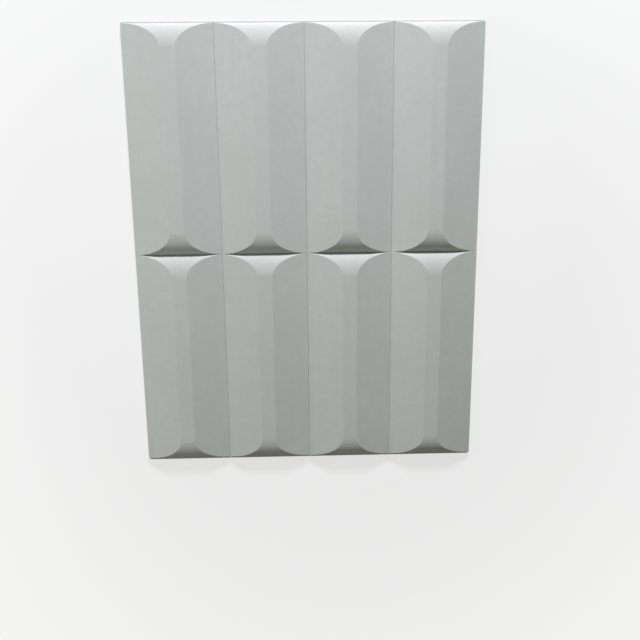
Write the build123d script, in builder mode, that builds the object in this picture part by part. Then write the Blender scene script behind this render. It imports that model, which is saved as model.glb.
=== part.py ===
"""Faux stone wall panel.

One moulded sheet, lying on its flat back with its face up. The face has rows of raised ribs:
each rib has a flat crest, two sloping sides that meet the next ribs in a creased valley,
and ends that round down to the slab, so that every side face is cut off by a scallop.
The origin is at the middle of the back, X runs across the ribs and Y along them.
"""
import os
from math import sqrt

from build123d import *

# Outline of the slab
panel_width = 625.0
panel_length = 800.0
slab_thickness = 7.0
corner_radius = 5.0
rim_radius = 1.5

# Layout of the ribs on the face
columns = 4
rows = 2
edge_margin = 3.0

# Shape of one rib
rib_height = 18.0
crest_width = 26.0
round_length = 42.0
round_drop = 1.0
edge_radius = 0.6

# Crease in the valley between two columns
crease_width = 1.6
crease_depth = 0.7

# Sizes that follow from those above
field_width = panel_width - 2 * edge_margin
field_length = panel_length - 2 * edge_margin
rib_width = field_width / columns
rib_length = field_length / rows
side_slope = 2 * rib_height / (rib_width - crest_width)
crease_lip = side_slope * crease_width / 2

# Each round end is part of an ellipse that is centred a little below the face of the slab,
# so that the end leaves the face with a draft and not straight up
round_start = rib_length / 2 - round_length
round_rise = rib_height + round_drop
round_reach = round_length / sqrt(1 - (round_drop / round_rise) ** 2)
profile_end = round_start + round_reach


# One rib, standing on the plane Z = 0
with BuildPart() as rib:
    # Section across the rib: a flat crest between two sloping sides
    with BuildSketch(Plane.XZ.offset(-profile_end)):
        with BuildLine():
            Polyline(
                (-rib_width / 2, 0),
                (rib_width / 2, 0),
                (crest_width / 2, rib_height),
                (-crest_width / 2, rib_height),
                close=True,
            )
        make_face()
    extrude(amount=2 * profile_end)

    # Profile along the rib: level on top, and round at both ends
    with BuildSketch(Plane.YZ.offset(-rib_width / 2)):
        with BuildLine():
            EllipticalCenterArc((round_start, -round_drop), round_reach, round_rise, 0, arc_size=90)
            Line((round_start, rib_height), (-round_start, rib_height))
            EllipticalCenterArc((-round_start, -round_drop), round_reach, round_rise, 90, arc_size=90)
            Line((-profile_end, -round_drop), (profile_end, -round_drop))
        make_face()
    extrude(amount=rib_width, mode=Mode.INTERSECT)

    # Softened edges along the crest and round the scallops: all of a side but its foot
    side_faces = rib.faces().sort_by(Axis.X)
    left_edges = side_faces[0].edges().sort_by(Axis.Z)[1:]
    right_edges = side_faces[-1].edges().sort_by(Axis.Z)[1:]
    fillet(left_edges + right_edges, edge_radius)


# The whole panel
with BuildPart() as wall_panel:
    # Slab with softened corners and a rounded rim around its face
    with BuildSketch():
        RectangleRounded(panel_width, panel_length, corner_radius)
    extrude(amount=slab_thickness)
    fillet(wall_panel.faces().sort_by(Axis.Z)[-1].edges(), rim_radius)

    # Ribs, side by side and end to end
    with Locations(Plane.XY.offset(slab_thickness)):
        with GridLocations(rib_width, rib_length, columns, rows):
            add(rib.part)

    # V-shaped crease along each valley between two columns
    with BuildSketch(Plane.XZ):
        with Locations((0, slab_thickness)):
            with GridLocations(rib_width, 0, columns - 1, 1):
                Polygon(
                    (0, -crease_depth),
                    (crease_width / 2, crease_lip),
                    (-crease_width / 2, crease_lip),
                    align=None,
                )
    extrude(amount=field_length / 2, both=True, mode=Mode.SUBTRACT)


os.makedirs("parts", exist_ok=True)
wall_panel.part.label = "wall_panel"
export_step(wall_panel.part, "parts/wall_panel.step")
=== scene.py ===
"""Looks of the faux stone wall panel.

A pale grey relief panel, cast in one piece, that lies on its flat back and is seen from above.
The panel is modelled once more here, with the softened edges of a casting, and stands for the solid.
"""
from math import cos, pi, radians, sqrt

import bmesh
import bpy
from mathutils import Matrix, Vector


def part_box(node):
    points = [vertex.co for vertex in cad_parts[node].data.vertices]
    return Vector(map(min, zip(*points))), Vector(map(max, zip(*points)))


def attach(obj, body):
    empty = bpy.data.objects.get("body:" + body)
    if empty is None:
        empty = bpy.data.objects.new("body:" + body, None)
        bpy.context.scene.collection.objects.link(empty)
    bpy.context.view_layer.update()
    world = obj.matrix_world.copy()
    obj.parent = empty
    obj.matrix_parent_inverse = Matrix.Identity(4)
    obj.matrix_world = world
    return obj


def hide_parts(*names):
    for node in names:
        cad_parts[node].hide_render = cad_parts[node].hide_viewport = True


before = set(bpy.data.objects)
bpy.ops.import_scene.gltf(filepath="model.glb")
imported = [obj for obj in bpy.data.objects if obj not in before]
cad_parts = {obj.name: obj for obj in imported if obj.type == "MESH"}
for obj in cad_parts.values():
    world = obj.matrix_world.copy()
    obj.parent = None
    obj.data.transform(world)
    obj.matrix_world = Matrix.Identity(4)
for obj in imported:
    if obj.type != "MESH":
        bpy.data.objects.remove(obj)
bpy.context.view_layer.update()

MM = 0.001

# Outline, from the solid
low_corner, high_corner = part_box("wall_panel")
panel_width = high_corner.x - low_corner.x
panel_length = high_corner.y - low_corner.y
panel_thickness = high_corner.z - low_corner.z
corner_radius = 5 * MM
corner_steps = 6
rim_radius = 1.5 * MM
rim_steps = 4

# Layout of the ribs on the face
columns = 4
rows = 2
edge_margin = 3 * MM
rib_width = (panel_width - 2 * edge_margin) / columns
rib_length = (panel_length - 2 * edge_margin) / rows

# Shape of one rib
rib_height = 18 * MM
crest_width = 26 * MM
side_run = (rib_width - crest_width) / 2
slab_thickness = panel_thickness - rib_height
round_length = 42 * MM
round_drop = 1 * MM
round_rise = rib_height + round_drop
round_reach = round_length / sqrt(1 - (round_drop / round_rise) ** 2)
round_facets = 192
edge_softness = 0.5 * MM
edge_steps = 4

# Crease in the valley between two columns
crease_width = 1.6 * MM
crease_depth = 0.7 * MM
crease_lip = crease_width / 2 * rib_height / side_run

# Working tolerances of the modelling
weld_distance = 0.005 * MM
cut_threshold = 0.001 * MM
smooth_angle = radians(25)

# A face is a rib's side where its normal leans sideways by more than the first of these, and the
# slab's top, with or without its rim, where it points up by more than the others
side_lean = 0.5 * rib_height / side_run
top_upward = 0.9
level_upward = 0.99

# Tones of the coat, and how much of the mottle, streaks and specks shows at most
coat_pale = (0.471, 0.487, 0.479, 1)
coat_deep = (0.452, 0.470, 0.461, 1)
mottle_tone = (0.425, 0.443, 0.434, 1)
mottle_share = 0.55
streak_tone = (0.433, 0.449, 0.443, 1)
streak_share = 0.4
speck_tone = (0.36, 0.375, 0.363, 1)
speck_share = 0.35

# Finish of the coat: how chalky and glossy it is, and the limits of its roughness
coat_chalk = 0.15
coat_gloss = 0.1
smoothest, roughest = 0.79, 0.86

# Patterns in the coat's tone and finish: lumps to the metre, finer detail, and the part of the noise used
cloud_lumps = 9
cloud_detail = 3
cloud_range = (0.35, 0.65)
mottle_lumps = 70
mottle_detail = 4
mottle_range = (0.3, 0.7)
streak_lumps = 90
streak_detail = 2
streak_range = (0.5, 0.75)
streak_stretch = 12
speck_lumps = 900
speck_detail = 1
speck_range = (0.62, 0.8)
sheen_lumps = 36
sheen_detail = 3
sheen_range = (0.3, 0.7)

# Relief of the skin: lumps to the metre, finer detail, and height
wave_lumps = 14
wave_detail = 2
wave_height = 0.15 * MM
dimple_lumps = 140
dimple_detail = 2
dimple_height = 0.06 * MM
grain_lumps = 600
grain_detail = 3
grain_height = 0.025 * MM

# Light
key_place = (0.25, 2.8, 1.21)
key_size = 0.4
key_watts = 156
key_tint = (0.93, 0.951, 1.0)
fill_place = (-2.0, 0.0, 0.8)
fill_size = 0.8
fill_watts = 18
ambient_tint = (1.0, 1.0, 0.75, 1)
ambient_level = 0.175

# Floor: its tone for the light that it throws back, the tone that is seen, and a white wash over the
# seen one, which grows from one distance from the panel's middle to another
floor_size = 6
floor_tone = (0.5, 0.5, 0.5, 1)
floor_seen_tone = (0.2, 0.2, 0.2, 1)
floor_roughness = 0.9
wash_near, wash_far = 0.5, 2.2
wash_least, wash_most = 0.67, 1.0

# Camera
camera_place = (-0.0140, 0.2060, 1.3801)
camera_turn = (radians(-13.588), radians(-1.652), radians(-0.540))
camera_lens = 42.49
sensor_width = 36


def deselect_all():
    bpy.ops.object.select_all(action="DESELECT")


def start_editing(piece):
    deselect_all()
    piece.select_set(True)
    bpy.context.view_layer.objects.active = piece
    bpy.ops.object.mode_set(mode="EDIT")


def stop_editing():
    bpy.ops.object.mode_set(mode="OBJECT")


def pick(piece, kind, wanted):
    """Selects, in edit mode, the points, edges or faces of a piece that pass a test."""
    bpy.ops.mesh.select_mode(type=kind)
    bpy.ops.mesh.select_all(action="DESELECT")
    shape = bmesh.from_edit_mesh(piece.data)
    shape.normal_update()
    for element in {"VERT": shape.verts, "EDGE": shape.edges, "FACE": shape.faces}[kind]:
        if wanted(element):
            element.select_set(True)
    bmesh.update_edit_mesh(piece.data)


def slice_off(point, direction, fill):
    """Cuts away what lies beyond a plane."""
    bpy.ops.mesh.select_all(action="SELECT")
    bpy.ops.mesh.bisect(
        plane_co=point, plane_no=direction, clear_outer=True, use_fill=fill, threshold=cut_threshold
    )


def is_side(face):
    return abs(face.normal.x) > side_lean


def parts_side_from_rest(edge):
    return len(edge.link_faces) == 2 and is_side(edge.link_faces[0]) != is_side(edge.link_faces[1])


def rib():
    """One rib with an open foot: a flattened drum, sliced along both sides and across its middle,
    with its halves drawn apart."""
    deselect_all()
    bpy.ops.mesh.primitive_cylinder_add(
        vertices=round_facets, radius=1, depth=2 * rib_width, rotation=(0, pi / 2, 0)
    )
    piece = bpy.context.object
    bpy.ops.object.transform_apply(location=False, rotation=True, scale=True)
    start_editing(piece)

    # A facet of the drum, and not an edge, lies on top
    half_facet = pi / round_facets
    bpy.ops.mesh.select_all(action="SELECT")
    bpy.ops.transform.rotate(value=half_facet, orient_axis="X", center_override=(0, 0, 0))
    bpy.ops.transform.resize(
        value=(1, round_reach, round_rise / cos(half_facet)), center_override=(0, 0, 0)
    )
    bpy.ops.transform.translate(value=(0, 0, -round_drop))

    for side in (-1, 1):
        slice_off((side * crest_width / 2, 0, rib_height), (side * rib_height, 0, side_run), fill=True)
    slice_off((0, 0, 0), (0, 0, -1), fill=False)

    # The halves move apart until the rib has its length
    reach = max(point.co.y for point in bmesh.from_edit_mesh(piece.data).verts)
    for end in (-1, 1):
        pick(piece, "VERT", lambda point: point.co.y * end > 0)
        bpy.ops.transform.translate(value=(0, end * (rib_length / 2 - reach), 0))

    # Softened edges along the crest and round the scallops
    pick(piece, "EDGE", parts_side_from_rest)
    bpy.ops.mesh.bevel(offset=edge_softness, segments=edge_steps, affect="EDGES", clamp_overlap=False)

    # To the first place in the grid
    bpy.ops.mesh.select_all(action="SELECT")
    bpy.ops.transform.translate(
        value=((1 - columns) / 2 * rib_width, (1 - rows) / 2 * rib_length, slab_thickness)
    )
    stop_editing()
    return piece


def repeat(piece, step, count):
    """Copies of a piece in a line, as one mesh."""
    deselect_all()
    piece.select_set(True)
    bpy.context.view_layer.objects.active = piece
    bpy.ops.object.modifier_add(type="ARRAY")
    array = piece.modifiers[-1]
    array.use_relative_offset = False
    array.use_constant_offset = True
    array.constant_offset_displace = step
    array.count = count
    bpy.ops.object.modifier_apply(modifier=array.name)


def slab():
    """The flat sheet under the ribs, with softened corners and rim, and open on top."""
    deselect_all()
    bpy.ops.mesh.primitive_cube_add(size=1)
    piece = bpy.context.object
    start_editing(piece)
    bpy.ops.transform.resize(value=(panel_width, panel_length, slab_thickness))
    bpy.ops.transform.translate(value=(0, 0, slab_thickness / 2))
    pick(piece, "EDGE", lambda edge: abs(edge.verts[0].co.z - edge.verts[1].co.z) > slab_thickness / 2)
    bpy.ops.mesh.bevel(offset=corner_radius, segments=corner_steps, affect="EDGES")
    pick(piece, "FACE", lambda face: face.normal.z > top_upward)
    bpy.ops.mesh.bevel(offset=rim_radius, segments=rim_steps, affect="EDGES")
    pick(piece, "FACE", lambda face: face.normal.z > level_upward)
    bpy.ops.mesh.delete(type="FACE")
    stop_editing()
    return piece


def crease_bars():
    """Three-sided bars, point down, one along each valley between two columns."""
    deselect_all()
    bpy.ops.mesh.primitive_cylinder_add(
        vertices=3, radius=1, depth=panel_length - 2 * edge_margin, rotation=(-pi / 2, 0, 0)
    )
    piece = bpy.context.object
    bpy.ops.object.transform_apply(location=False, rotation=True, scale=True)
    start_editing(piece)
    # Twice the crease's size, so that the bar stands clear of the valley
    bar_width = 2 * crease_width
    bar_height = 2 * (crease_depth + crease_lip)
    # Width and height of the bar as it is added, with its corners at a radius of 1
    first_width = sqrt(3)
    first_height = 1.5
    bpy.ops.mesh.select_all(action="SELECT")
    bpy.ops.transform.resize(
        value=(bar_width / first_width, 1, bar_height / first_height), center_override=(0, 0, 0)
    )
    point_height = min(point.co.z for point in bmesh.from_edit_mesh(piece.data).verts)
    bpy.ops.transform.translate(
        value=((2 - columns) / 2 * rib_width, 0, slab_thickness - crease_depth - point_height)
    )
    stop_editing()
    repeat(piece, (rib_width, 0, 0), columns - 1)
    return piece


def relief_panel():
    """The whole panel as one closed skin."""
    piece = rib()
    repeat(piece, (rib_width, 0, 0), columns)
    repeat(piece, (0, rib_length, 0), rows)

    # The ribs grow together, and the pinholes where four of them meet are closed
    start_editing(piece)
    bpy.ops.mesh.select_all(action="SELECT")
    bpy.ops.mesh.remove_doubles(threshold=weld_distance)
    bpy.ops.mesh.fill_holes(sides=4 * edge_steps)
    stop_editing()

    # The slab joins on, and the narrow margin between the ribs and its rim is filled
    sheet = slab()
    deselect_all()
    sheet.select_set(True)
    piece.select_set(True)
    bpy.context.view_layer.objects.active = piece
    bpy.ops.object.join()
    start_editing(piece)
    pick(piece, "EDGE", lambda edge: edge.is_boundary)
    bpy.ops.mesh.fill()
    bpy.ops.mesh.select_all(action="SELECT")
    bpy.ops.mesh.normals_make_consistent(inside=False)
    stop_editing()

    # Creases
    bars = crease_bars()
    deselect_all()
    piece.select_set(True)
    bpy.context.view_layer.objects.active = piece
    bpy.ops.object.modifier_add(type="BOOLEAN")
    cut = piece.modifiers[-1]
    cut.operation = "DIFFERENCE"
    cut.solver = "EXACT"
    cut.object = bars
    bpy.ops.object.modifier_apply(modifier=cut.name)
    bpy.data.objects.remove(bars)

    bpy.ops.object.shade_smooth_by_angle(angle=smooth_angle)
    bpy.ops.object.modifier_add(type="WEIGHTED_NORMAL")
    even = piece.modifiers[-1]
    even.keep_sharp = True
    bpy.ops.object.modifier_apply(modifier=even.name)
    piece.name = "relief_panel"
    piece.data.name = "relief_panel"
    return piece


def cast_coat():
    """Matt pale grey coat on the casting: faint clouds, mottle, streaks and specks in its tone,
    and waves, dimples and a fine grain in its skin."""
    material = bpy.data.materials.new("cast_coat")
    material.use_nodes = True
    nodes = material.node_tree.nodes
    link = material.node_tree.links.new
    shader = nodes["Principled BSDF"]
    shader.inputs["Diffuse Roughness"].default_value = coat_chalk
    shader.inputs["Specular IOR Level"].default_value = coat_gloss
    place = nodes.new("ShaderNodeTexCoord").outputs["Object"]

    def pattern(lumps, detail, stretch=1):
        """Soft noise with so many lumps to the metre, drawn out along the ribs by the stretch."""
        mapping = nodes.new("ShaderNodeMapping")
        mapping.inputs["Scale"].default_value = (lumps, lumps / stretch, lumps)
        noise = nodes.new("ShaderNodeTexNoise")
        noise.inputs["Scale"].default_value = 1
        noise.inputs["Detail"].default_value = detail
        link(place, mapping.inputs["Vector"])
        link(mapping.outputs["Vector"], noise.inputs["Vector"])
        return noise.outputs["Fac"]

    def range_of(fac, start, end, low, high):
        """Turns the stretch of a pattern from start to end into values from low to high."""
        spread = nodes.new("ShaderNodeMapRange")
        spread.inputs["From Min"].default_value = start
        spread.inputs["From Max"].default_value = end
        spread.inputs["To Min"].default_value = low
        spread.inputs["To Max"].default_value = high
        link(fac, spread.inputs["Value"])
        return spread.outputs["Result"]

    def lay_over(under, tone, share):
        """Lays a tone over a colour, by the share at each spot."""
        over = nodes.new("ShaderNodeMixRGB")
        over.inputs["Color2"].default_value = tone
        link(share, over.inputs["Fac"])
        link(under, over.inputs["Color1"])
        return over.outputs["Color"]

    def raised(fac, height, under=None):
        """Relief of the skin, on top of any coarser relief."""
        bump = nodes.new("ShaderNodeBump")
        bump.inputs["Strength"].default_value = 1
        bump.inputs["Distance"].default_value = height
        link(fac, bump.inputs["Height"])
        if under:
            link(under, bump.inputs["Normal"])
        return bump.outputs["Normal"]

    clouds = nodes.new("ShaderNodeValToRGB")
    clouds.color_ramp.elements[0].position = cloud_range[0]
    clouds.color_ramp.elements[0].color = coat_deep
    clouds.color_ramp.elements[1].position = cloud_range[1]
    clouds.color_ramp.elements[1].color = coat_pale
    link(pattern(cloud_lumps, cloud_detail), clouds.inputs["Fac"])
    mottle = range_of(pattern(mottle_lumps, mottle_detail), *mottle_range, 0, mottle_share)
    streaks = range_of(
        pattern(streak_lumps, streak_detail, streak_stretch), *streak_range, 0, streak_share
    )
    specks = range_of(pattern(speck_lumps, speck_detail), *speck_range, 0, speck_share)
    mottled = lay_over(clouds.outputs["Color"], mottle_tone, mottle)
    streaked = lay_over(mottled, streak_tone, streaks)
    link(lay_over(streaked, speck_tone, specks), shader.inputs["Base Color"])

    sheen = range_of(pattern(sheen_lumps, sheen_detail), *sheen_range, smoothest, roughest)
    link(sheen, shader.inputs["Roughness"])

    waves = raised(pattern(wave_lumps, wave_detail), wave_height)
    dimples = raised(pattern(dimple_lumps, dimple_detail), dimple_height, waves)
    grain = raised(pattern(grain_lumps, grain_detail), grain_height, dimples)
    link(grain, shader.inputs["Normal"])
    return material


def seen_directly(tree):
    """1 for what the camera sees itself, in a mirror or through glass, and 0 for light on the object."""
    path = tree.nodes.new("ShaderNodeLightPath")
    first = tree.nodes.new("ShaderNodeMath")
    first.operation = "MAXIMUM"
    second = tree.nodes.new("ShaderNodeMath")
    second.operation = "MAXIMUM"
    tree.links.new(path.outputs["Is Camera Ray"], first.inputs[0])
    tree.links.new(path.outputs["Is Glossy Ray"], first.inputs[1])
    tree.links.new(first.outputs["Value"], second.inputs[0])
    tree.links.new(path.outputs["Is Transmission Ray"], second.inputs[1])
    return second.outputs["Value"]


def white_floor():
    """Floor that is washed pale where it is seen, white further off, and keeps the panel's shadow."""
    deselect_all()
    bpy.ops.mesh.primitive_plane_add(size=floor_size)
    floor = bpy.context.object
    floor.name = "floor"
    material = bpy.data.materials.new("pale_floor")
    material.use_nodes = True
    tree = material.node_tree
    shader = tree.nodes["Principled BSDF"]
    shader.inputs["Roughness"].default_value = floor_roughness
    shader.inputs["Specular IOR Level"].default_value = 0
    seen = seen_directly(tree)
    tone = tree.nodes.new("ShaderNodeMixRGB")
    tone.inputs["Color1"].default_value = floor_tone
    tone.inputs["Color2"].default_value = floor_seen_tone
    tree.links.new(seen, tone.inputs["Fac"])
    tree.links.new(tone.outputs["Color"], shader.inputs["Base Color"])

    # The wash is weaker round the panel, where the lamp's light and the shadow fall
    place = tree.nodes.new("ShaderNodeTexCoord")
    distance = tree.nodes.new("ShaderNodeVectorMath")
    distance.operation = "LENGTH"
    wash = tree.nodes.new("ShaderNodeMapRange")
    wash.inputs["From Min"].default_value = wash_near
    wash.inputs["From Max"].default_value = wash_far
    wash.inputs["To Min"].default_value = wash_least
    wash.inputs["To Max"].default_value = wash_most
    shown = tree.nodes.new("ShaderNodeMath")
    shown.operation = "MULTIPLY"
    glow = tree.nodes.new("ShaderNodeEmission")
    both = tree.nodes.new("ShaderNodeAddShader")
    tree.links.new(place.outputs["Object"], distance.inputs[0])
    tree.links.new(distance.outputs["Value"], wash.inputs["Value"])
    tree.links.new(wash.outputs["Result"], shown.inputs[0])
    tree.links.new(seen, shown.inputs[1])
    tree.links.new(shown.outputs["Value"], glow.inputs["Strength"])
    tree.links.new(shader.outputs["BSDF"], both.inputs[0])
    tree.links.new(glow.outputs["Emission"], both.inputs[1])
    tree.links.new(both.outputs["Shader"], tree.nodes["Material Output"].inputs["Surface"])
    floor.data.materials.append(material)


def soft_lamp(name, place, size, watts, tint=(1, 1, 1)):
    """Square soft light that faces the middle of the panel."""
    bpy.ops.object.light_add(type="AREA", location=place)
    lamp = bpy.context.object
    lamp.name = name
    lamp.data.size = size
    lamp.data.energy = watts
    lamp.data.color = tint
    lamp.rotation_euler = (-Vector(place)).to_track_quat("-Z", "Y").to_euler()


def studio_surround():
    """White all round where it is seen, and a dim warm light on the panel."""
    world = bpy.data.worlds.new("studio_surround")
    bpy.context.scene.world = world
    world.use_nodes = True
    tree = world.node_tree
    ambient = tree.nodes["Background"]
    ambient.inputs["Color"].default_value = ambient_tint
    ambient.inputs["Strength"].default_value = ambient_level
    white = tree.nodes.new("ShaderNodeBackground")
    white.inputs["Color"].default_value = (1, 1, 1, 1)
    white.inputs["Strength"].default_value = 1
    choice = tree.nodes.new("ShaderNodeMixShader")
    tree.links.new(seen_directly(tree), choice.inputs["Fac"])
    tree.links.new(ambient.outputs["Background"], choice.inputs[1])
    tree.links.new(white.outputs["Background"], choice.inputs[2])
    tree.links.new(choice.outputs["Shader"], tree.nodes["World Output"].inputs["Surface"])


def photo_camera():
    bpy.ops.object.camera_add(location=camera_place, rotation=camera_turn)
    camera = bpy.context.object
    camera.data.sensor_width = sensor_width
    camera.data.lens = camera_lens
    bpy.context.scene.camera = camera


panel = relief_panel()
panel.data.materials.clear()
panel.data.materials.append(cast_coat())
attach(panel, "root")
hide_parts("wall_panel")

white_floor()
soft_lamp("key_lamp", key_place, key_size, key_watts, key_tint)
soft_lamp("fill_lamp", fill_place, fill_size, fill_watts)
studio_surround()
photo_camera()
bpy.context.scene.view_settings.view_transform = "Standard"
